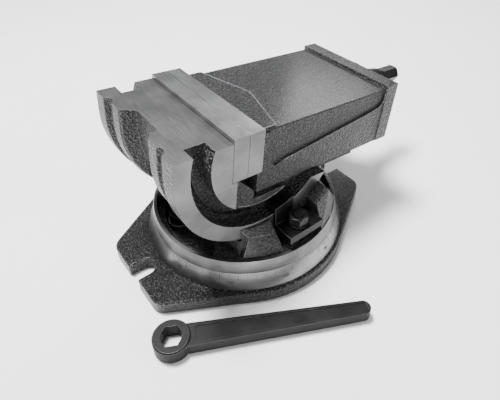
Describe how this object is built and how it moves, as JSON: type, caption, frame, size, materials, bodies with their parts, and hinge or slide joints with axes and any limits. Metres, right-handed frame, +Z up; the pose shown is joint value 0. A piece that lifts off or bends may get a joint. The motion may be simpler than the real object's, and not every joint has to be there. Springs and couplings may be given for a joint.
{
  "type": "machine vise",
  "caption": "Two-way machine vise on a graduated swivel base: the body tilts in a cradle, held by strap clamps; a leadscrew drives the sliding jaw, and a box wrench lies beside it.",
  "frame": {"origin": "centre of the base's underside, on the swivel axis", "axes": "+Z up along the swivel axis, +X towards the leadscrew's drive end, jaw faces along Y"},
  "size_m": [0.358, 0.2594, 0.1642],
  "materials": {
    "hammered_paint": "pebbled dark grey enamel on cast iron, machined faces left bright",
    "ground_steel": "surface ground",
    "turned_steel": "turned",
    "black_oxide": "black oxide",
    "bronze": "machined",
    "black_paint": "semi-matt black"
  },
  "bodies": {
    "base": {"base_plate": "hammered_paint", "centre_pivot": "turned_steel"},
    "turntable": {"turntable": "hammered_paint", "swivel_t_bolt_left": "black_oxide", "swivel_t_bolt_right": "black_oxide", "swivel_washer_left": "turned_steel", "swivel_washer_right": "turned_steel", "clamp_stud_front": "black_oxide", "clamp_stud_rear": "black_oxide"},
    "swivel_nut_left": {"swivel_nut_left": "black_oxide"},
    "swivel_nut_right": {"swivel_nut_right": "black_oxide"},
    "front_clamp": {"clamp_strap_front": "black_oxide", "clamp_washer_front": "black_oxide"},
    "rear_clamp": {"clamp_strap_rear": "black_oxide", "clamp_washer_rear": "black_oxide"},
    "front_clamp_nut": {"clamp_nut_front": "black_oxide"},
    "rear_clamp_nut": {"clamp_nut_rear": "black_oxide"},
    "vise_body": {"vise_body": "hammered_paint", "fixed_jaw_plate": "ground_steel", "fixed_jaw_screw_1": "black_oxide", "fixed_jaw_screw_2": "black_oxide", "leadscrew_nut": "bronze", "nut_screw_1": "black_oxide", "nut_screw_2": "black_oxide"},
    "moving_jaw": {"moving_jaw": "hammered_paint", "moving_jaw_plate": "ground_steel", "moving_jaw_screw_1": "black_oxide", "moving_jaw_screw_2": "black_oxide", "keeper_plate_front": "black_oxide", "keeper_screw_front_1": "black_oxide", "keeper_screw_front_2": "black_oxide", "keeper_screw_front_3": "black_oxide", "keeper_plate_rear": "black_oxide", "keeper_screw_rear_1": "black_oxide", "keeper_screw_rear_2": "black_oxide", "keeper_screw_rear_3": "black_oxide", "bearing_cap": "black_oxide", "cap_screw_1": "black_oxide", "cap_screw_2": "black_oxide", "cap_screw_3": "black_oxide", "cap_screw_4": "black_oxide"},
    "leadscrew": {"leadscrew": "black_oxide"},
    "wrench": {"box_wrench": "black_paint"}
  },
  "joints": [
    {"name": "swivel", "type": "hinge", "parent": "base", "child": "turntable", "pos_m": [0, 0, 0.03], "axis": [0, 0, 1], "continuous": true},
    {"name": "tilt", "type": "hinge", "parent": "turntable", "child": "vise_body", "pos_m": [-0.01865, 0, 0.138], "axis": [0, -1, 0], "range_deg": [0, 95.7]},
    {"name": "jaw_slide", "type": "slide", "parent": "vise_body", "child": "moving_jaw", "axis": [0.995, 0, -0.0998], "range_m": [0, 0.1]},
    {"name": "leadscrew_turn", "type": "hinge", "parent": "moving_jaw", "child": "leadscrew", "pos_m": [-0.01965, 0, 0.12805], "axis": [0.995, 0, -0.0998], "range_deg": [0, 7200]},
    {"name": "front_clamp_lift", "type": "slide", "parent": "turntable", "child": "front_clamp", "axis": [0, 0, 1], "range_m": [0, 0.0035]},
    {"name": "front_clamp_nut_turn", "type": "hinge", "parent": "front_clamp", "child": "front_clamp_nut", "pos_m": [0.0035, -0.075, 0.062], "axis": [0, 0, 1], "range_deg": [0, 720]},
    {"name": "rear_clamp_lift", "type": "slide", "parent": "turntable", "child": "rear_clamp", "axis": [0, 0, 1], "range_m": [0, 0.0035]},
    {"name": "rear_clamp_nut_turn", "type": "hinge", "parent": "rear_clamp", "child": "rear_clamp_nut", "pos_m": [0.0035, 0.075, 0.062], "axis": [0, 0, 1], "range_deg": [0, 720]},
    {"name": "swivel_nut_left_turn", "type": "hinge", "parent": "turntable", "child": "swivel_nut_left", "pos_m": [-0.06564, 0.01774, 0.035], "axis": [0, 0, 1], "range_deg": [0, 180]},
    {"name": "swivel_nut_right_turn", "type": "hinge", "parent": "turntable", "child": "swivel_nut_right", "pos_m": [0.06564, -0.01774, 0.035], "axis": [0, 0, 1], "range_deg": [0, 180]},
    {"name": "wrench_lift", "type": "slide", "parent": "base", "child": "wrench", "axis": [0, 0, 1], "range_m": [0, 0.15]}
  ],
  "couplings": [
    {"joint": "leadscrew_turn", "follows": "jaw_slide", "rad_per_m": 1256.6},
    {"joint": "front_clamp_nut_turn", "follows": "front_clamp_lift", "rad_per_m": 3590},
    {"joint": "rear_clamp_nut_turn", "follows": "rear_clamp_lift", "rad_per_m": 3590}
  ]
}
